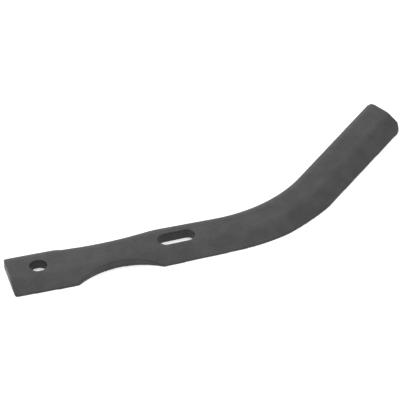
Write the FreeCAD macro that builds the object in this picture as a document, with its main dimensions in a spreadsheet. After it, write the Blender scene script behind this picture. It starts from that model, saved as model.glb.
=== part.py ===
"""Rotary tiller blade, a flat bar bent edgewise and bolted to a rotor by a round hole and a slot.

The origin is the centre of the bolt hole on the flat underside. X runs along the shank from
the bolt hole to the adjusting slot, Y points to the rounded spine and Z points up, so the
bevelled cutting edge is on the -Y side. All sizes are in millimetres.
"""
import FreeCAD, Part
import math
import os
import Sketcher

ORIGIN_POINT = (-1, 1)
START = 1
END = 2
CENTRE = 3

SPINE_CORNERS = ["spine_start", "shoulder", "neck_start", "neck", "land", "bend", "spine_end"]
EDGE_CORNERS = ["edge_start", "edge_knee", "heel", "first_corner", "belly", "second_corner", "edge_end"]
BUTT_CORNERS = ["butt_top", "butt_spine", "butt_edge", "butt_foot"]
TIP_CORNERS = ["tip_top", "tip_spine", "tip_front", "tip_edge", "tip_foot"]

SIZES = [
    # alias, value, meaning
    ("thickness", 8.0, "thickness of the bar"),
    ("hole_dia", 13.0, "bolt hole, clearance for an M12 bolt"),
    ("slot_width", 13.0, "adjusting slot, clearance for an M12 bolt"),
    ("slot_length", 28.0, "overall length of the slot"),
    ("slot_pitch", 105.0, "bolt hole centre to slot centre"),
    ("notch_radius", 54.0, "clearance notch for the rotor tube"),
    ("notch_x", 58.2, "notch centre along the shank"),
    ("notch_y", -66.4, "notch centre, outside the cutting edge"),
    ("spine_start_x", -40.0, "spine line begins, beyond the butt end"),
    ("spine_start_y", 19.1, ""),
    ("shoulder_x", 16.0, "end of the wide pad on the spine"),
    ("shoulder_y", 17.4, ""),
    ("shoulder_round", 12.0, ""),
    ("neck_start_x", 21.5, "foot of the shoulder"),
    ("neck_start_y", 15.8, ""),
    ("neck_start_round", 12.0, ""),
    ("neck_x", 54.0, "waist of the neck, opposite the notch"),
    ("neck_y", 12.7, ""),
    ("neck_round", 240.0, ""),
    ("land_x", 90.5, "spine swells again beside the slot"),
    ("land_y", 17.1, ""),
    ("land_round", 60.0, ""),
    ("bend_x", 180.0, "spine lines of shank and blade meet here"),
    ("bend_y", 14.1, ""),
    ("bend_round", 100.0, "inside radius of the edgewise bend"),
    ("spine_end_x", 304.0, "spine line ends, beyond the tip"),
    ("spine_end_y", 134.7, ""),
    ("edge_start_x", -40.0, "cutting edge line begins, beyond the butt end"),
    ("edge_start_y", -21.6, ""),
    ("edge_knee_x", 20.0, "pad edge turns into the shank edge"),
    ("edge_knee_y", -23.8, ""),
    ("edge_knee_round", 100.0, ""),
    ("heel_x", 165.0, "outside of the bend begins"),
    ("heel_y", -21.1, ""),
    ("heel_round", 140.0, ""),
    ("first_corner_x", 186.5, "soft corner on the outside of the bend"),
    ("first_corner_y", -14.4, ""),
    ("first_corner_round", 25.0, ""),
    ("belly_x", 205.9, "flattened belly between the soft corners"),
    ("belly_y", -5.3, ""),
    ("belly_round", 190.0, ""),
    ("second_corner_x", 223.2, "soft corner where the straight blade begins"),
    ("second_corner_y", 7.2, ""),
    ("second_corner_round", 25.0, ""),
    ("edge_end_x", 318.0, "cutting edge line ends, beyond the tip"),
    ("edge_end_y", 98.8, ""),
    ("bevel_width", 13.8, "bevel, measured across the flat"),
    ("edge_land", 1.2, "blunt land left at the cutting edge"),
    ("ridge_round", 12.0, "soft ridge between flat and bevel"),
    ("crown_depth", 8.0, "crown of the spine, measured across the flat"),
    ("nose_height", 4.3, "height of the outermost line of the spine"),
    ("nose_round", 2.6, "radius at the outermost line of the spine"),
    ("cutter_reach", 8.0, "how far the cutting profiles reach outside the bar"),
    ("cutter_margin", 2.0, "how far the cutting profiles pass the faces"),
    ("contact_lift", 0.01, "lets the cutting profiles cross the flats, not just touch them"),
    ("stock", 2.0, "stock left on both edges of the blank"),
    ("crop_reach", 12.0, "how far the end crops reach beyond the blank"),
    ("butt_top_x", 4.0, "butt outline starts outside the spine"),
    ("butt_top_y", 18.65, ""),
    ("butt_spine_x", -23.2, "square butt end, corner at the spine"),
    ("butt_spine_y", 18.65, ""),
    ("butt_spine_round", 4.5, ""),
    ("butt_edge_x", -23.2, "square butt end, corner at the cutting edge"),
    ("butt_edge_y", -22.4, ""),
    ("butt_edge_round", 3.0, ""),
    ("butt_foot_x", 4.0, "butt outline ends outside the cutting edge"),
    ("butt_foot_y", -23.4, ""),
    ("tip_top_x", 264.1, "tip outline starts outside the spine"),
    ("tip_top_y", 96.1, ""),
    ("tip_spine_x", 285.8, "oblique tip, corner at the spine"),
    ("tip_spine_y", 117.2, ""),
    ("tip_spine_round", 4.0, ""),
    ("tip_front_x", 300.7, "oblique tip, front corner of the clipped edge"),
    ("tip_front_y", 88.8, ""),
    ("tip_front_round", 1.5, ""),
    ("tip_edge_x", 299.2, "oblique tip, rear corner of the clipped edge"),
    ("tip_edge_y", 80.5, ""),
    ("tip_edge_round", 12.0, ""),
    ("tip_foot_x", 277.6, "tip outline ends outside the cutting edge"),
    ("tip_foot_y", 59.5, ""),
    ("end_easing", 1.5, "rounding of the end faces' upper edges"),
]


def make_sheet(doc):
    """Spreadsheet of the driving sizes, one row each: name, value, meaning."""
    sheet = doc.addObject("Spreadsheet::Sheet", "Sizes")
    for row, (alias, value, meaning) in enumerate(SIZES, start=1):
        sheet.set(f"A{row}", alias)
        sheet.set(f"B{row}", str(value))
        sheet.set(f"C{row}", meaning)
        sheet.setAlias(f"B{row}", alias)
    doc.recompute()
    return sheet


def origin_plane(body, role):
    """The body's own origin plane with the given role, such as XY_Plane."""
    return next(item for item in body.Origin.OriginFeatures if item.Role == role)


def new_sketch(body, name, role, offset=0.0):
    """Empty sketch on one of the body's origin planes, moved along that plane's normal."""
    sketch = body.newObject("Sketcher::SketchObject", name)
    sketch.AttachmentSupport = [(origin_plane(body, role), "")]
    sketch.MapMode = "FlatFace"
    sketch.AttachmentOffset = FreeCAD.Placement(FreeCAD.Vector(0, 0, offset), FreeCAD.Rotation())
    return sketch


def constrain(sketch, kind, *where, name=None, formula=None):
    """Add one constraint; a formula ties its value to the sheet."""
    index = sketch.addConstraint(Sketcher.Constraint(kind, *where))
    if name:
        sketch.renameConstraint(index, name)
        sketch.setExpression(f"Constraints.{name}", formula)
    return index


def pin(sketch, geo, pos, point, name, x_formula, y_formula):
    """Fix a point of the sketch at two formulas of the sheet."""
    constrain(sketch, "DistanceX", *ORIGIN_POINT, geo, pos, point.x, name=f"{name}_x", formula=x_formula)
    constrain(sketch, "DistanceY", *ORIGIN_POINT, geo, pos, point.y, name=f"{name}_y", formula=y_formula)


def round_corner(before, corner, after, radius):
    """Arc that rounds a corner: its geometry, its two tangent points and the turn's sense."""
    to_before = (before - corner).normalize()
    to_after = (after - corner).normalize()
    half_angle = to_before.getAngle(to_after) / 2
    reach = radius / math.tan(half_angle)
    first = corner + to_before * reach
    last = corner + to_after * reach
    bisector = (to_before + to_after).normalize()
    centre = corner + bisector * (radius / math.sin(half_angle))
    left_turn = (corner - before).cross(after - corner).z > 0
    start, end = (first, last) if left_turn else (last, first)
    start_angle = math.atan2(start.y - centre.y, start.x - centre.x)
    end_angle = math.atan2(end.y - centre.y, end.x - centre.x)
    circle = Part.Circle(centre, FreeCAD.Vector(0, 0, 1), radius)
    return Part.ArcOfCircle(circle, start_angle, end_angle), first, last, left_turn


def tangent_chain(sketch, sheet, corners):
    """Lines through named corners, joined by tangent arcs.

    Each corner has an _x and a _y cell; an inner corner also has a _round cell. Construction
    lines join the corners, the lines lie on them and each arc is held by its radius.
    """
    points = [FreeCAD.Vector(sheet.get(f"{name}_x"), sheet.get(f"{name}_y"), 0) for name in corners]
    guides = []
    for index in range(len(points) - 1):
        guide = sketch.addGeometry(Part.LineSegment(points[index], points[index + 1]), True)
        guides.append(guide)
        pin(sketch, guide, START, points[index], corners[index],
            f"Sizes.{corners[index]}_x", f"Sizes.{corners[index]}_y")
        if index:
            constrain(sketch, "Coincident", guides[index - 1], END, guide, START)
    pin(sketch, guides[-1], END, points[-1], corners[-1],
        f"Sizes.{corners[-1]}_x", f"Sizes.{corners[-1]}_y")

    arcs = []
    for index in range(1, len(points) - 1):
        radius = sheet.get(f"{corners[index]}_round")
        arcs.append(round_corner(points[index - 1], points[index], points[index + 1], radius))
    line_starts = [points[0]] + [last for _, _, last, _ in arcs]
    line_ends = [first for _, first, _, _ in arcs] + [points[-1]]
    lines = []
    for guide, line_start, line_end in zip(guides, line_starts, line_ends):
        line = sketch.addGeometry(Part.LineSegment(line_start, line_end), False)
        lines.append(line)
        for pos, at_chain_end in ((START, guide == guides[0]), (END, guide == guides[-1])):
            if at_chain_end:
                constrain(sketch, "Coincident", line, pos, guide, pos)
            else:
                constrain(sketch, "PointOnObject", line, pos, guide)
    for index, (arc, _, _, left_turn) in enumerate(arcs):
        geo = sketch.addGeometry(arc, False)
        near_end, far_end = (START, END) if left_turn else (END, START)
        constrain(sketch, "Tangent", lines[index], END, geo, near_end)
        constrain(sketch, "Tangent", geo, far_end, lines[index + 1], START)
        name = f"{corners[index + 1]}_round"
        constrain(sketch, "Radius", geo, arc.Radius, name=name, formula=f"Sizes.{name}")
    return lines


def closed_polygon(sketch, named_points):
    """Closed outline of straight lines; each point is (name, x, y, x formula, y formula)."""
    points = [FreeCAD.Vector(x, y, 0) for _, x, y, _, _ in named_points]
    lines = []
    for index, point in enumerate(points):
        following = points[(index + 1) % len(points)]
        lines.append(sketch.addGeometry(Part.LineSegment(point, following), False))
    for index, (name, _, _, x_formula, y_formula) in enumerate(named_points):
        following = lines[(index + 1) % len(lines)]
        constrain(sketch, "Coincident", lines[index], END, following, START)
        pin(sketch, lines[index], START, points[index], name, x_formula, y_formula)
    return lines


def blank_bar(body, sheet):
    """Plain bar of full thickness with stock on both edges and at both ends."""
    value = sheet.get
    stock = value("stock")
    sketch = new_sketch(body, "BlankOutline", "XY_Plane")
    outline = []

    def corner(name, x_cell, x_shift, y_cell, y_shift):
        x_formula = f"Sizes.{x_cell} + ({x_shift}) * Sizes.stock"
        y_formula = f"Sizes.{y_cell} + ({y_shift}) * Sizes.stock"
        x = value(x_cell) + x_shift * stock
        y = value(y_cell) + y_shift * stock
        outline.append((name, x, y, x_formula, y_formula))

    corner("butt_low", "edge_start_x", 2, "edge_start_y", -1)
    corner("knee", "edge_knee_x", 0, "edge_knee_y", -1)
    corner("heel", "heel_x", 0, "heel_y", -1)
    corner("belly", "belly_x", 1, "belly_y", -1)
    corner("tip_low", "edge_end_x", 0, "edge_end_y", -2)
    corner("tip_high", "spine_end_x", -1, "spine_end_y", 1)
    corner("inside_blade", "bend_x", 15, "bend_y", 16)
    corner("inside_bend", "bend_x", -2, "bend_y", 5)
    corner("inside_shank", "bend_x", -21, "bend_y", 2)
    corner("land", "land_x", 0, "land_y", 1)
    corner("neck", "neck_x", 0, "neck_y", 1.5)
    corner("shoulder", "shoulder_x", 0, "shoulder_y", 1)
    corner("butt_high", "spine_start_x", 2, "spine_start_y", 1)
    closed_polygon(sketch, outline)

    pad = body.newObject("PartDesign::Pad", "BlankBar")
    pad.Profile = sketch
    pad.setExpression("Length", "Sizes.thickness")
    return pad


def path(body, sheet, name, corners):
    """Sketch of one long edge of the bar, along which a cutting profile is swept."""
    sketch = new_sketch(body, name, "XY_Plane")
    tangent_chain(sketch, sheet, corners)
    return sketch


def spine_profile(body, sheet):
    """Waste outside the spine: quarter round below, small nose round, shallow crown above."""
    value = sheet.get
    spine = value("spine_start_y")
    lift = value("contact_lift")
    top = value("thickness") + lift
    nose = value("nose_round")
    height = value("nose_height")
    depth = value("crown_depth")
    reach = value("cutter_reach")
    margin = value("cutter_margin")
    rise = top - height
    run = depth - nose
    crown = (run ** 2 + rise ** 2 - nose ** 2) / (2 * (rise - nose))
    crown_centre = FreeCAD.Vector(spine - depth, top - crown, 0)
    nose_centre = FreeCAD.Vector(spine - nose, height, 0)
    foot_centre = FreeCAD.Vector(spine - height - lift, height, 0)
    join_angle = math.atan2(nose_centre.y - crown_centre.y, nose_centre.x - crown_centre.x)
    axis = FreeCAD.Vector(0, 0, 1)

    sketch = new_sketch(body, "SpineProfile", "YZ_Plane", value("spine_start_x"))
    foot = sketch.addGeometry(
        Part.ArcOfCircle(Part.Circle(foot_centre, axis, height + lift), -math.pi / 2, 0), False)
    front = sketch.addGeometry(
        Part.ArcOfCircle(Part.Circle(nose_centre, axis, nose), 0, join_angle), False)
    crowned = sketch.addGeometry(
        Part.ArcOfCircle(Part.Circle(crown_centre, axis, crown), join_angle, math.pi / 2), False)
    frame = [
        FreeCAD.Vector(spine - depth, top, 0),
        FreeCAD.Vector(spine - depth, top + margin, 0),
        FreeCAD.Vector(spine + reach, top + margin, 0),
        FreeCAD.Vector(spine + reach, -margin, 0),
        FreeCAD.Vector(spine - height - lift, -margin, 0),
        FreeCAD.Vector(spine - height - lift, -lift, 0),
    ]
    sides = [sketch.addGeometry(Part.LineSegment(a, b), False) for a, b in zip(frame, frame[1:])]
    rear, upper, outer, lower, foot_side = sides
    for side, following in zip(sides, sides[1:]):
        constrain(sketch, "Coincident", side, END, following, START)
    for side in (rear, outer, foot_side):
        constrain(sketch, "Vertical", side)
    for side in (upper, lower):
        constrain(sketch, "Horizontal", side)
    constrain(sketch, "Coincident", foot_side, END, foot, START)
    constrain(sketch, "Vertical", foot, START, foot, CENTRE)
    constrain(sketch, "Horizontal", foot, END, foot, CENTRE)
    constrain(sketch, "Tangent", foot, END, front, START)
    constrain(sketch, "Tangent", front, END, crowned, START)
    constrain(sketch, "Coincident", crowned, END, rear, START)
    constrain(sketch, "Vertical", crowned, END, crowned, CENTRE)
    constrain(sketch, "Radius", front, nose, name="nose_round", formula="Sizes.nose_round")
    pin(sketch, crowned, END, frame[0], "crown_top",
        "Sizes.spine_start_y - Sizes.crown_depth", "Sizes.thickness + Sizes.contact_lift")
    pin(sketch, front, START, FreeCAD.Vector(spine, height, 0), "nose_line",
        "Sizes.spine_start_y", "Sizes.nose_height")
    pin(sketch, outer, START, frame[2], "outer_top", "Sizes.spine_start_y + Sizes.cutter_reach",
        "Sizes.thickness + Sizes.contact_lift + Sizes.cutter_margin")
    constrain(sketch, "DistanceY", *ORIGIN_POINT, outer, END, -margin,
              name="outer_foot", formula="-Sizes.cutter_margin")
    constrain(sketch, "DistanceY", *ORIGIN_POINT, foot, START, -lift,
              name="foot_level", formula="-Sizes.contact_lift")
    return sketch


def bevel_profile(body, sheet):
    """Waste above the bevel, with the soft ridge and the blunt land of the cutting edge."""
    value = sheet.get
    edge = value("edge_start_y")
    top = value("thickness") + value("contact_lift")
    width = value("bevel_width")
    land = value("edge_land")
    ridge_radius = value("ridge_round")
    reach = value("cutter_reach")
    margin = value("cutter_margin")
    slope = math.atan2(value("thickness") - land, width)
    ridge = FreeCAD.Vector(edge + width, value("thickness"), 0)
    reach_back = ridge_radius * math.tan(slope / 2)
    axis = FreeCAD.Vector(0, 0, 1)

    sketch = new_sketch(body, "BevelProfile", "YZ_Plane", value("edge_start_x"))
    low = FreeCAD.Vector(edge, land, 0)
    bevel_end = ridge - FreeCAD.Vector(math.cos(slope), math.sin(slope), 0) * reach_back
    centre = FreeCAD.Vector(ridge.x + reach_back, top - ridge_radius, 0)
    guide = sketch.addGeometry(Part.LineSegment(low, ridge), True)
    bevel = sketch.addGeometry(Part.LineSegment(low, bevel_end), False)
    soft_ridge = sketch.addGeometry(
        Part.ArcOfCircle(Part.Circle(centre, axis, ridge_radius), math.pi / 2, math.pi / 2 + slope),
        False)
    frame = [
        FreeCAD.Vector(centre.x, top, 0),
        FreeCAD.Vector(centre.x, top + margin, 0),
        FreeCAD.Vector(edge - reach, top + margin, 0),
        FreeCAD.Vector(edge - reach, -margin, 0),
        FreeCAD.Vector(edge, -margin, 0),
        low,
    ]
    sides = [sketch.addGeometry(Part.LineSegment(a, b), False) for a, b in zip(frame, frame[1:])]
    rear, upper, outer, lower, land_side = sides
    for side, following in zip(sides, sides[1:]):
        constrain(sketch, "Coincident", side, END, following, START)
    for side in (rear, outer, land_side):
        constrain(sketch, "Vertical", side)
    for side in (upper, lower):
        constrain(sketch, "Horizontal", side)
    pin(sketch, guide, START, low, "edge_top", "Sizes.edge_start_y", "Sizes.edge_land")
    pin(sketch, guide, END, ridge, "ridge",
        "Sizes.edge_start_y + Sizes.bevel_width", "Sizes.thickness")
    constrain(sketch, "Coincident", bevel, START, guide, START)
    constrain(sketch, "Coincident", land_side, END, bevel, START)
    constrain(sketch, "PointOnObject", bevel, END, guide)
    constrain(sketch, "Tangent", bevel, END, soft_ridge, END)
    constrain(sketch, "Coincident", soft_ridge, START, rear, START)
    constrain(sketch, "Vertical", soft_ridge, START, soft_ridge, CENTRE)
    constrain(sketch, "Radius", soft_ridge, ridge_radius,
              name="ridge_round", formula="Sizes.ridge_round")
    constrain(sketch, "DistanceY", *ORIGIN_POINT, soft_ridge, START, top,
              name="ridge_top", formula="Sizes.thickness + Sizes.contact_lift")
    pin(sketch, outer, START, frame[2], "outer_top", "Sizes.edge_start_y - Sizes.cutter_reach",
        "Sizes.thickness + Sizes.contact_lift + Sizes.cutter_margin")
    constrain(sketch, "DistanceY", *ORIGIN_POINT, outer, END, -margin,
              name="outer_foot", formula="-Sizes.cutter_margin")
    return sketch


def sweep_cut(body, name, profile, edge_path):
    """Cut away the profile's sweep along the path."""
    cut = body.newObject("PartDesign::SubtractivePipe", name)
    cut.Profile = profile
    cut.Spine = (edge_path, [f"Edge{number + 1}" for number in range(len(edge_path.Shape.Edges))])
    return cut


def pocket(body, name, sketch):
    """Cut the sketch through the full thickness, upwards from the underside."""
    cut = body.newObject("PartDesign::Pocket", name)
    cut.Profile = sketch
    cut.Type = "ThroughAll"
    cut.Reversed = True
    return cut


def crop(body, sheet, name, corners, outer_points):
    """Crop one end of the bar to a rounded outline, given by a chain and an outer border."""
    sketch = new_sketch(body, f"{name}Outline", "XY_Plane")
    lines = tangent_chain(sketch, sheet, corners)
    chain_start = FreeCAD.Vector(sheet.get(f"{corners[0]}_x"), sheet.get(f"{corners[0]}_y"), 0)
    chain_end = FreeCAD.Vector(sheet.get(f"{corners[-1]}_x"), sheet.get(f"{corners[-1]}_y"), 0)
    border = [chain_end] + [point for _, point, _, _ in outer_points] + [chain_start]
    sides = [sketch.addGeometry(Part.LineSegment(a, b), False) for a, b in zip(border, border[1:])]
    constrain(sketch, "Coincident", lines[-1], END, sides[0], START)
    for side, following in zip(sides, sides[1:]):
        constrain(sketch, "Coincident", side, END, following, START)
    constrain(sketch, "Coincident", sides[-1], END, lines[0], START)
    for side, (label, point, x_formula, y_formula) in zip(sides, outer_points):
        pin(sketch, side, END, point, label, x_formula, y_formula)
    return pocket(body, name, sketch)


def crop_butt(body, sheet):
    """Square butt end with rounded corners."""
    left = sheet.get("spine_start_x")
    high = sheet.get("spine_start_y") + sheet.get("crop_reach")
    low = sheet.get("edge_start_y") - sheet.get("crop_reach")
    right = sheet.get("butt_top_x")
    outer = [
        ("outer_low_right", FreeCAD.Vector(right, low, 0),
         "Sizes.butt_top_x", "Sizes.edge_start_y - Sizes.crop_reach"),
        ("outer_low", FreeCAD.Vector(left, low, 0),
         "Sizes.spine_start_x", "Sizes.edge_start_y - Sizes.crop_reach"),
        ("outer_high", FreeCAD.Vector(left, high, 0),
         "Sizes.spine_start_x", "Sizes.spine_start_y + Sizes.crop_reach"),
        ("outer_high_right", FreeCAD.Vector(right, high, 0),
         "Sizes.butt_top_x", "Sizes.spine_start_y + Sizes.crop_reach"),
    ]
    return crop(body, sheet, "ButtEnd", BUTT_CORNERS, outer)


def crop_tip(body, sheet):
    """Oblique tip with a rounded spine corner and a clipped edge corner."""
    reach = sheet.get("crop_reach")
    spine_x = sheet.get("spine_end_x")
    spine_y = sheet.get("spine_end_y") + reach
    edge_x = sheet.get("edge_end_x") + reach
    edge_y = sheet.get("edge_end_y") - reach
    outer = [
        ("outer_edge", FreeCAD.Vector(edge_x, edge_y, 0),
         "Sizes.edge_end_x + Sizes.crop_reach", "Sizes.edge_end_y - Sizes.crop_reach"),
        ("outer_front", FreeCAD.Vector(edge_x, spine_y, 0),
         "Sizes.edge_end_x + Sizes.crop_reach", "Sizes.spine_end_y + Sizes.crop_reach"),
        ("outer_spine", FreeCAD.Vector(spine_x, spine_y, 0),
         "Sizes.spine_end_x", "Sizes.spine_end_y + Sizes.crop_reach"),
    ]
    return crop(body, sheet, "Tip", TIP_CORNERS, outer)


def clearance_notch(body, sheet):
    """Round bite in the cutting edge, so that the bolted shank clears the rotor tube."""
    sketch = new_sketch(body, "NotchCircle", "XY_Plane")
    centre = FreeCAD.Vector(sheet.get("notch_x"), sheet.get("notch_y"), 0)
    radius = sheet.get("notch_radius")
    circle = sketch.addGeometry(Part.Circle(centre, FreeCAD.Vector(0, 0, 1), radius), False)
    pin(sketch, circle, CENTRE, centre, "notch", "Sizes.notch_x", "Sizes.notch_y")
    constrain(sketch, "Radius", circle, radius, name="notch_radius", formula="Sizes.notch_radius")
    return pocket(body, "ClearanceNotch", sketch)


def bolt_hole(body, sheet):
    """Round hole for the fixed bolt, centred on the origin."""
    sketch = new_sketch(body, "HoleCircle", "XY_Plane")
    radius = sheet.get("hole_dia") / 2
    circle = Part.Circle(FreeCAD.Vector(0, 0, 0), FreeCAD.Vector(0, 0, 1), radius)
    hole = sketch.addGeometry(circle, False)
    constrain(sketch, "Coincident", hole, CENTRE, *ORIGIN_POINT)
    constrain(sketch, "Diameter", hole, 2 * radius, name="hole_dia", formula="Sizes.hole_dia")
    return pocket(body, "BoltHole", sketch)


def adjusting_slot(body, sheet):
    """Slot along the shank for the second bolt."""
    sketch = new_sketch(body, "SlotOutline", "XY_Plane")
    radius = sheet.get("slot_width") / 2
    half_run = (sheet.get("slot_length") - sheet.get("slot_width")) / 2
    pitch = sheet.get("slot_pitch")
    axis = FreeCAD.Vector(0, 0, 1)
    rear = FreeCAD.Vector(pitch - half_run, 0, 0)
    front = FreeCAD.Vector(pitch + half_run, 0, 0)
    rear_end = sketch.addGeometry(
        Part.ArcOfCircle(Part.Circle(rear, axis, radius), math.pi / 2, 3 * math.pi / 2), False)
    front_end = sketch.addGeometry(
        Part.ArcOfCircle(Part.Circle(front, axis, radius), -math.pi / 2, math.pi / 2), False)
    across = FreeCAD.Vector(0, radius, 0)
    lower = sketch.addGeometry(Part.LineSegment(rear - across, front - across), False)
    upper = sketch.addGeometry(Part.LineSegment(front + across, rear + across), False)
    constrain(sketch, "Tangent", rear_end, END, lower, START)
    constrain(sketch, "Tangent", lower, END, front_end, START)
    constrain(sketch, "Tangent", front_end, END, upper, START)
    constrain(sketch, "Tangent", upper, END, rear_end, START)
    constrain(sketch, "Equal", rear_end, front_end)
    constrain(sketch, "Radius", rear_end, radius, name="end_radius", formula="Sizes.slot_width / 2")
    pin(sketch, rear_end, CENTRE, rear, "rear_centre",
        "Sizes.slot_pitch - (Sizes.slot_length - Sizes.slot_width) / 2", "0")
    pin(sketch, front_end, CENTRE, front, "front_centre",
        "Sizes.slot_pitch + (Sizes.slot_length - Sizes.slot_width) / 2", "0")
    return pocket(body, "AdjustingSlot", sketch)


def fail_if_broken(doc, body):
    """Stop when any object failed to compute or the blade isn't one valid solid."""
    for item in doc.Objects:
        if "Invalid" in item.State or "Error" in item.State:
            raise RuntimeError(f"{item.Name} failed: {item.State}")
    shape = body.Shape
    if shape.isNull() or not shape.isValid() or len(shape.Solids) != 1:
        raise RuntimeError(f"{body.Label} isn't one valid solid")


def checked(doc, feature, least, most):
    """Recompute and make sure that a cut took off between least and most cubic millimetres."""
    before = feature.BaseFeature.Shape.Volume
    doc.recompute()
    removed = before - feature.Shape.Volume
    print(f"{feature.Name}: removed {removed:.0f} mm3, {feature.State}")
    if not least < removed < most:
        raise RuntimeError(f"{feature.Name} removed {removed:.0f} mm3")


def main():
    """Build the blade, check it and write its STEP file."""
    doc = FreeCAD.newDocument("RotaryTillerBlade")
    sheet = make_sheet(doc)
    blade = doc.addObject("PartDesign::Body", "TillerBlade")
    blade.Label = "tiller_blade"

    blank_bar(blade, sheet)
    spine_path = path(blade, sheet, "SpinePath", SPINE_CORNERS)
    profile = spine_profile(blade, sheet)
    doc.recompute()
    checked(doc, sweep_cut(blade, "SpineRounding", profile, spine_path), 5000, 20000)
    edge_path = path(blade, sheet, "EdgePath", EDGE_CORNERS)
    profile = bevel_profile(blade, sheet)
    doc.recompute()
    checked(doc, sweep_cut(blade, "CuttingEdge", profile, edge_path), 15000, 35000)
    checked(doc, crop_butt(blade, sheet), 2000, 6000)
    checked(doc, crop_tip(blade, sheet), 3000, 8000)
    checked(doc, clearance_notch(blade, sheet), 1000, 3000)
    checked(doc, bolt_hole(blade, sheet), 1000, 1100)
    checked(doc, adjusting_slot(blade, sheet), 2500, 2700)

    fail_if_broken(doc, blade)
    box = blade.Shape.BoundBox
    print(f"blade {box.XLength:.1f} x {box.YLength:.1f} x {box.ZLength:.1f} mm")
    print(f"volume {blade.Shape.Volume:.0f} mm3")
    os.makedirs("parts", exist_ok=True)
    blade.Shape.exportStep(f"parts/{blade.Label}.step")


main()
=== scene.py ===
"""Looks of the rotary tiller blade: black, semi-matt forged steel on a pale studio floor.

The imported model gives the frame. One finely meshed piece stands for its single node: it has the
node's shape, with the soft edges and the slightly uneven skin of a forging.
"""

import logging
import math
from dataclasses import dataclass
from enum import Enum
from typing import Any

import bpy
from mathutils import Matrix, Vector


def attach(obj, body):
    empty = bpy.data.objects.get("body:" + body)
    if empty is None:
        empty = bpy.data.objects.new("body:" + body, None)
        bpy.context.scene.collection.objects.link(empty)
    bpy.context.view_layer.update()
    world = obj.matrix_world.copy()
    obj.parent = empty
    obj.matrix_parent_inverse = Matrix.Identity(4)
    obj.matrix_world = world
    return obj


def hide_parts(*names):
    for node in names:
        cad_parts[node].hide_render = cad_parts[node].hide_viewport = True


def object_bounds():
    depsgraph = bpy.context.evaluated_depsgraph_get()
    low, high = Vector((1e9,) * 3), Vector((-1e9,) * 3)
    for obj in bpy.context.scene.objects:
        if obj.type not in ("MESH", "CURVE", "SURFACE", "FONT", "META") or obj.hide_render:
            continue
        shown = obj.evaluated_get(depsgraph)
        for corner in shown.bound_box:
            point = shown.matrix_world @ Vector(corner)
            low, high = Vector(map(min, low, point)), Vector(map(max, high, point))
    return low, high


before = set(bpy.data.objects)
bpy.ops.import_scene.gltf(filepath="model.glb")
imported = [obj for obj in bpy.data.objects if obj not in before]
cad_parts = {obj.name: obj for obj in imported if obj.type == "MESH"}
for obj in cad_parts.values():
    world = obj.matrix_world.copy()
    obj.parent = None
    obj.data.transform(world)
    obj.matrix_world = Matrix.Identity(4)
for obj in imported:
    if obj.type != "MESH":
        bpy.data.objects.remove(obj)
CAD_LOW, CAD_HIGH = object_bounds()

LOG = logging.getLogger("tiller_blade")
MM = 0.001
WHITE = (1.0, 1.0, 1.0, 1.0)


def linear(colour: str) -> tuple[float, float, float, float]:
    """Turn an sRGB hex colour to the linear values that shaders take.

    Args:
        colour: Six hex digits after a hash sign.

    Returns:
        Red, green, blue and alpha, linear.
    """
    channels = []
    for start in (1, 3, 5):
        value = int(colour[start:start + 2], 16) / 255
        channels.append(value / 12.92 if value <= 0.04045 else ((value + 0.055) / 1.055) ** 2.4)
    return channels[0], channels[1], channels[2], 1.0


def add_node(tree: bpy.types.NodeTree, kind: str, inputs: dict[Any, Any] | None = None,
             **settings: Any) -> bpy.types.Node:
    """Add a shader node with its settings, values and links.

    Args:
        tree: Node tree that gets the node.
        kind: Blender's name of the node type.
        inputs: Socket name or number to a value, or to the output socket that feeds it.
        **settings: Properties of the node itself.

    Returns:
        The new node.
    """
    node = tree.nodes.new(kind)
    for name, value in settings.items():
        setattr(node, name, value)
    for socket, value in (inputs or {}).items():
        if isinstance(value, bpy.types.NodeSocket):
            tree.links.new(value, node.inputs[socket])
        else:
            node.inputs[socket].default_value = value
    return node


def new_material(name: str) -> bpy.types.Material:
    """Make an empty node material.

    Args:
        name: Name of the material.

    Returns:
        The material, with no nodes yet.
    """
    material = bpy.data.materials.new(name)
    material.use_nodes = True
    material.node_tree.nodes.clear()
    return material


def deselect_all() -> None:
    """Leave nothing selected, in object mode."""
    if bpy.context.object and bpy.context.object.mode != "OBJECT":
        bpy.ops.object.mode_set(mode="OBJECT")
    bpy.ops.object.select_all(action="DESELECT")


def select_only(piece: bpy.types.Object) -> None:
    """Make one object the only selected one and the active one.

    Args:
        piece: Object to select.
    """
    deselect_all()
    piece.select_set(True)
    bpy.context.view_layer.objects.active = piece


def apply_modifier(piece: bpy.types.Object, kind: str, **settings: Any) -> None:
    """Add a modifier with its settings and apply it at once.

    Args:
        piece: Mesh object that is changed.
        kind: Blender's name of the modifier type.
        **settings: Properties of the modifier.
    """
    select_only(piece)
    modifier = piece.modifiers.new(kind.lower(), kind)
    for name, value in settings.items():
        setattr(modifier, name, value)
    bpy.ops.object.modifier_apply(modifier=modifier.name)


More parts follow.
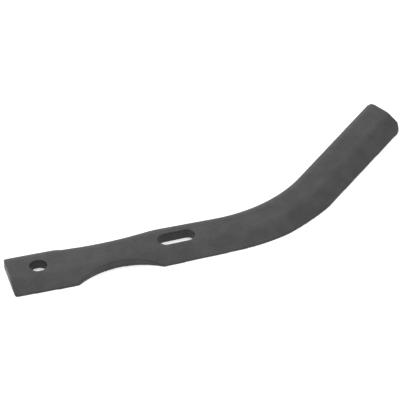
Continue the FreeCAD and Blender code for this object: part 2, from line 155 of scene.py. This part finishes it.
@dataclass(frozen=True)
class BlackenedForgedSteel:
    """Spring steel, hot forged, with a thin black baked coat.

    The scale and the hammer marks under the coat leave a faintly mottled skin with fine pits.
    Each range holds the two pattern values between which the pattern fades from none to full.
    """

    coat: str = "#1f1f20"
    thin_coat: str = "#2b2b2c"
    roughness: tuple[float, float] = (0.42, 0.58)
    coat_ior: float = 1.5
    mottle_mm: float = 14.0
    mottle_range: tuple[float, float] = (0.35, 0.65)
    grain_mm: float = 2.2
    grain_range: tuple[float, float] = (0.3, 0.7)
    pit_mm: float = 4.5
    pit_range: tuple[float, float] = (0.05, 0.32)
    grain_height_mm: float = 0.05
    pit_height_mm: float = 0.06

    def material(self) -> bpy.types.Material:
        """Build the coat's material.

        Returns:
            A material whose patterns read Object coordinates in metres.
        """
        material = new_material("blackened_forged_steel")
        tree = material.node_tree
        place = add_node(tree, "ShaderNodeTexCoord").outputs["Object"]
        mottle = add_node(tree, "ShaderNodeTexNoise", {
            "Vector": place, "Scale": 1 / (self.mottle_mm * MM), "Detail": 4.0, "Roughness": 0.6})
        grain = add_node(tree, "ShaderNodeTexNoise", {
            "Vector": place, "Scale": 1 / (self.grain_mm * MM), "Detail": 5.0, "Roughness": 0.65})
        pits = add_node(tree, "ShaderNodeTexVoronoi", {
            "Vector": place, "Scale": 1 / (self.pit_mm * MM), "Randomness": 1.0},
            feature="SMOOTH_F1")
        pit_depth = add_node(tree, "ShaderNodeMapRange", {
            "Value": pits.outputs["Distance"],
            "From Min": self.pit_range[0], "From Max": self.pit_range[1],
            "To Min": 0.0, "To Max": 1.0}, interpolation_type="SMOOTHSTEP")
        tone = add_node(tree, "ShaderNodeMapRange", {
            "Value": mottle.outputs["Fac"],
            "From Min": self.mottle_range[0], "From Max": self.mottle_range[1],
            "To Min": 0.0, "To Max": 1.0}, interpolation_type="SMOOTHSTEP")
        colour = add_node(tree, "ShaderNodeMix", {
            0: tone.outputs["Result"], 6: linear(self.coat), 7: linear(self.thin_coat)},
            data_type="RGBA")
        rough = add_node(tree, "ShaderNodeMapRange", {
            "Value": grain.outputs["Fac"],
            "From Min": self.grain_range[0], "From Max": self.grain_range[1],
            "To Min": self.roughness[0], "To Max": self.roughness[1]})
        pitted = add_node(tree, "ShaderNodeBump", {
            "Height": pit_depth.outputs["Result"], "Distance": self.pit_height_mm * MM,
            "Strength": 1.0})
        grained = add_node(tree, "ShaderNodeBump", {
            "Height": grain.outputs["Fac"], "Distance": self.grain_height_mm * MM,
            "Strength": 1.0, "Normal": pitted.outputs["Normal"]})
        surface = add_node(tree, "ShaderNodeBsdfPrincipled", {
            "Base Color": colour.outputs[2], "Roughness": rough.outputs["Result"],
            "IOR": self.coat_ior, "Metallic": 0.0, "Normal": grained.outputs["Normal"]})
        add_node(tree, "ShaderNodeOutputMaterial", {"Surface": surface.outputs["BSDF"]})
        return material


@dataclass(frozen=True)
class MattPaper:
    """Matt white background paper, which gives the eye an even, pale ground."""

    paper: str = "#f4f4f4"
    roughness: float = 0.9
    glow: float = 0.25

    def material(self) -> bpy.types.Material:
        """Build the paper's material.

        Returns:
            A diffuse material, lifted a little as on a light table.
        """
        material = new_material("matt_white_paper")
        tree = material.node_tree
        surface = add_node(tree, "ShaderNodeBsdfPrincipled", {
            "Base Color": linear(self.paper), "Roughness": self.roughness,
            "Emission Color": WHITE, "Emission Strength": self.glow})
        add_node(tree, "ShaderNodeOutputMaterial", {"Surface": surface.outputs["BSDF"]})
        return material


@dataclass
class ForgedBlade:
    """The whole blade, one forging: shank, bend, cutting edge, hole, slot and notch."""

    node: str = "tiller_blade"
    skin_cell_mm: float = 0.6
    merge_mm: float = 0.001
    smoothing_share: float = 0.5
    smoothing_rounds: int = 4
    waviness_mm: float = 0.10
    wave_mm: float = 9.0
    wave_octaves: int = 2

    def build(self) -> bpy.types.Object:
        """Build and dress the blade.

        Returns:
            The finished piece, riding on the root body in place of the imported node.
        """
        piece = self.merged_copy()
        self.close_skin(piece)
        self.roughen(piece)
        piece.data.materials.clear()
        piece.data.materials.append(BlackenedForgedSteel().material())
        select_only(piece)
        bpy.ops.object.shade_smooth()
        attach(piece, "root")
        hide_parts(self.node)
        return piece

    def merged_copy(self) -> bpy.types.Object:
        """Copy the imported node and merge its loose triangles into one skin.

        Returns:
            The copy, linked to the scene.
        """
        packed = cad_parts[self.node]
        piece = bpy.data.objects.new("forged_blade", packed.data.copy())
        bpy.context.scene.collection.objects.link(piece)
        select_only(piece)
        bpy.ops.object.mode_set(mode="EDIT")
        bpy.ops.mesh.select_all(action="SELECT")
        bpy.ops.mesh.remove_doubles(threshold=self.merge_mm * MM)
        bpy.ops.object.mode_set(mode="OBJECT")
        return piece

    def close_skin(self, piece: bpy.types.Object) -> None:
        """Rebuild the skin as fine even cells and soften its edges.

        Args:
            piece: The merged copy.
        """
        apply_modifier(piece, "REMESH", mode="VOXEL", voxel_size=self.skin_cell_mm * MM,
                       adaptivity=0.0)
        apply_modifier(piece, "SMOOTH", factor=self.smoothing_share,
                       iterations=self.smoothing_rounds)

    def roughen(self, piece: bpy.types.Object) -> None:
        """Sink shallow hollows into the skin, as the hammer leaves them, never outwards.

        Args:
            piece: The blade with its closed skin.
        """
        hollows = bpy.data.textures.new("hammer_hollows", "CLOUDS")
        hollows.noise_scale = self.wave_mm * MM
        hollows.noise_depth = self.wave_octaves
        apply_modifier(piece, "DISPLACE", texture=hollows, texture_coords="LOCAL",
                       strength=self.waviness_mm * MM, mid_level=1.0)


class LightRole(Enum):
    """What a soft light does for the blade."""

    OVERHEAD = "overhead_softbox"
    BACK = "back_softbox"


@dataclass
class SoftLight:
    """A large soft box, aimed at the middle of the blade.

    Azimuth and elevation are in degrees, distance and size in metres, power in watts.
    """

    role: LightRole
    azimuth: float
    elevation: float
    distance: float
    size: float
    power: float

    def place(self, target: Vector) -> None:
        """Put up the light.

        Args:
            target: Point that the light faces.
        """
        lamp = bpy.data.lights.new(self.role.value, "AREA")
        lamp.shape = "SQUARE"
        lamp.size = self.size
        lamp.energy = self.power
        holder = bpy.data.objects.new(self.role.value, lamp)
        bpy.context.scene.collection.objects.link(holder)
        turn = math.radians(self.azimuth)
        rise = math.radians(self.elevation)
        away = Vector((math.sin(turn) * math.cos(rise), math.cos(turn) * math.cos(rise),
                       math.sin(rise)))
        holder.location = target + away * self.distance
        holder.rotation_mode = "QUATERNION"
        holder.rotation_quaternion = (-away).to_track_quat("-Z", "Y")
        holder.visible_camera = False


@dataclass
class Studio:
    """Pale floor, soft light and the camera.

    Lengths are in metres and angles in degrees. The aim is measured from the bolt hole's centre.
    """

    floor_size: float = 12.0
    tent_strength: float = 1.0
    elevation: float = 37.0
    shank_turn: float = 11.69
    roll: float = 4.5
    distance: float = 4.0
    view_width: float = 0.298
    sensor_mm: float = 36.0
    far_clip: float = 100.0
    aim: tuple[float, float, float] = (0.13274, 0.03782, 0.008)

    def build(self) -> None:
        """Lay the floor, light the set and place the camera."""
        target = Vector(self.aim)
        self.lay_floor()
        self.light_tent()
        for light in (
            SoftLight(LightRole.OVERHEAD, azimuth=0.0, elevation=80.0,
                      distance=3.0, size=3.0, power=30.0),
            SoftLight(LightRole.BACK, azimuth=-30.0, elevation=35.0,
                      distance=3.5, size=2.5, power=30.0),
        ):
            light.place(target)
        self.place_camera(target)
        view = bpy.context.scene.view_settings
        view.view_transform = "Standard"
        view.look = "None"

    def lay_floor(self) -> None:
        """Lay the paper at the height of the blade's underside."""
        deselect_all()
        bpy.ops.mesh.primitive_plane_add(size=self.floor_size, location=(0.0, 0.0, CAD_LOW.z))
        floor = bpy.context.object
        floor.name = "paper_floor"
        floor.data.materials.append(MattPaper().material())

    def light_tent(self) -> None:
        """Even white light from all round, as inside a light tent."""
        world = bpy.data.worlds.new("light_tent")
        world.use_nodes = True
        tree = world.node_tree
        tree.nodes.clear()
        glow = add_node(tree, "ShaderNodeBackground", {
            "Color": WHITE, "Strength": self.tent_strength})
        add_node(tree, "ShaderNodeOutputWorld", {"Surface": glow.outputs["Background"]})
        bpy.context.scene.world = world

    def place_camera(self, target: Vector) -> None:
        """Place the camera.

        Args:
            target: Point in the middle of the view.
        """
        turn = math.radians(self.shank_turn)
        rise = math.radians(self.elevation)
        roll = math.radians(self.roll)
        right = Vector((math.cos(turn), -math.sin(turn), 0.0))
        away = Vector((math.sin(turn), math.cos(turn), 0.0))
        up = Vector((0.0, 0.0, 1.0))
        forward = away * math.cos(rise) - up * math.sin(rise)
        above = away * math.sin(rise) + up * math.cos(rise)
        across = right * math.cos(roll) - above * math.sin(roll)
        upright = right * math.sin(roll) + above * math.cos(roll)
        lens = bpy.data.cameras.new("studio_camera")
        lens.sensor_width = self.sensor_mm
        lens.lens = self.sensor_mm * self.distance / self.view_width
        lens.clip_end = self.far_clip
        camera = bpy.data.objects.new("studio_camera", lens)
        bpy.context.scene.collection.objects.link(camera)
        turned = Matrix((across, upright, -forward)).transposed()
        camera.rotation_mode = "QUATERNION"
        camera.rotation_quaternion = turned.to_quaternion()
        camera.location = target - forward * self.distance
        bpy.context.scene.camera = camera


def main() -> None:
    """Build the blade and the studio round it."""
    logging.basicConfig(level=logging.INFO, format="%(message)s")
    blade = ForgedBlade().build()
    LOG.info("%s: %d faces", blade.name, len(blade.data.polygons))
    Studio().build()
    LOG.info("studio: floor, lights and camera")


if __name__ == "__main__":
    main()
